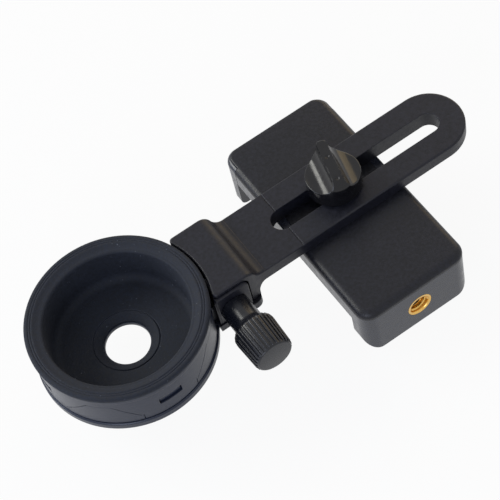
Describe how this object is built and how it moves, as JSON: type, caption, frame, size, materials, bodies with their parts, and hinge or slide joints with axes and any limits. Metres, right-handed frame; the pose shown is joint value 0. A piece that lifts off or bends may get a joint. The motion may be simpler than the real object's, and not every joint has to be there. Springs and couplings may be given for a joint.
{
  "type": "telescope phone adapter",
  "caption": "Phone adapter for an eyepiece: a rubber-lined cup with a thumbscrew clamp, a slotted arm, and a sprung phone holder held on the slot by a wing knob.",
  "frame": {"origin": "on the axis of the eyepiece cup, at its phone-side face", "axes": "+Z towards the eyepiece, +X along the slotted arm to its round end, -Y to the side of the thumbscrew"},
  "size_m": [0.1452, 0.0729, 0.0341],
  "materials": {
    "black_plastic": "satin moulded",
    "knob_plastic": "gloss",
    "soft_rubber": "matte",
    "pad_foam": "matte foam",
    "insert_brass": "turned",
    "screw_steel": "zinc plated",
    "band_steel": "spring strip"
  },
  "bodies": {
    "cup_and_arm": {"arm_housing": "black_plastic", "retaining_ring": "black_plastic", "rubber_cup": "soft_rubber", "base_cover": "black_plastic", "base_screws": "screw_steel", "clamp_band": "band_steel", "band_nut": "screw_steel"},
    "lug": {"clamp_lug": "black_plastic"},
    "thumbscrew": {"thumbscrew_knob": "knob_plastic", "thumbscrew_stud": "screw_steel"},
    "holder": {"holder_body": "black_plastic", "holder_cover": "black_plastic", "cover_screws": "screw_steel", "brass_insert": "insert_brass", "fixed_jaw_pad": "pad_foam", "back_pad": "pad_foam", "knob_nut": "screw_steel", "jaw_springs": "screw_steel"},
    "jaw": {"moving_jaw": "black_plastic", "moving_jaw_pad": "pad_foam", "guide_rods": "screw_steel"},
    "washer": {"knob_washer": "screw_steel"},
    "knob": {"wing_knob": "knob_plastic", "knob_stud": "screw_steel"}
  },
  "joints": [
    {"name": "clamp_slide", "type": "slide", "parent": "cup_and_arm", "child": "lug", "axis": [0, 1, 0], "range_m": [0, 0.0024], "deforming": ["clamp_band"]},
    {"name": "thumbscrew_turn", "type": "hinge", "parent": "lug", "child": "thumbscrew", "pos_m": [0.02955, -0.013, 0.0078], "axis": [0, 1, 0], "range_deg": [0, 1080]},
    {"name": "holder_slide", "type": "slide", "parent": "cup_and_arm", "child": "holder", "axis": [1, 0, 0], "range_m": [-0.009, 0.0335]},
    {"name": "jaw_slide", "type": "slide", "parent": "holder", "child": "jaw", "axis": [0, 1, 0], "range_m": [0, 0.027], "stiffness_N_per_m": 150, "springref_m": -0.02, "deforming": ["jaw_springs"]},
    {"name": "knob_lift", "type": "slide", "parent": "holder", "child": "washer", "axis": [0, 0, 1], "range_m": [0, 0.0012]},
    {"name": "knob_turn", "type": "hinge", "parent": "washer", "child": "knob", "pos_m": [0.07415, 0, 0.0125], "axis": [0, 0, 1], "range_deg": [0, 540]}
  ],
  "couplings": [
    {"joint": "thumbscrew_turn", "follows": "clamp_slide", "rad_per_m": 7853.9},
    {"joint": "knob_turn", "follows": "knob_lift", "rad_per_m": 7853.9}
  ]
}
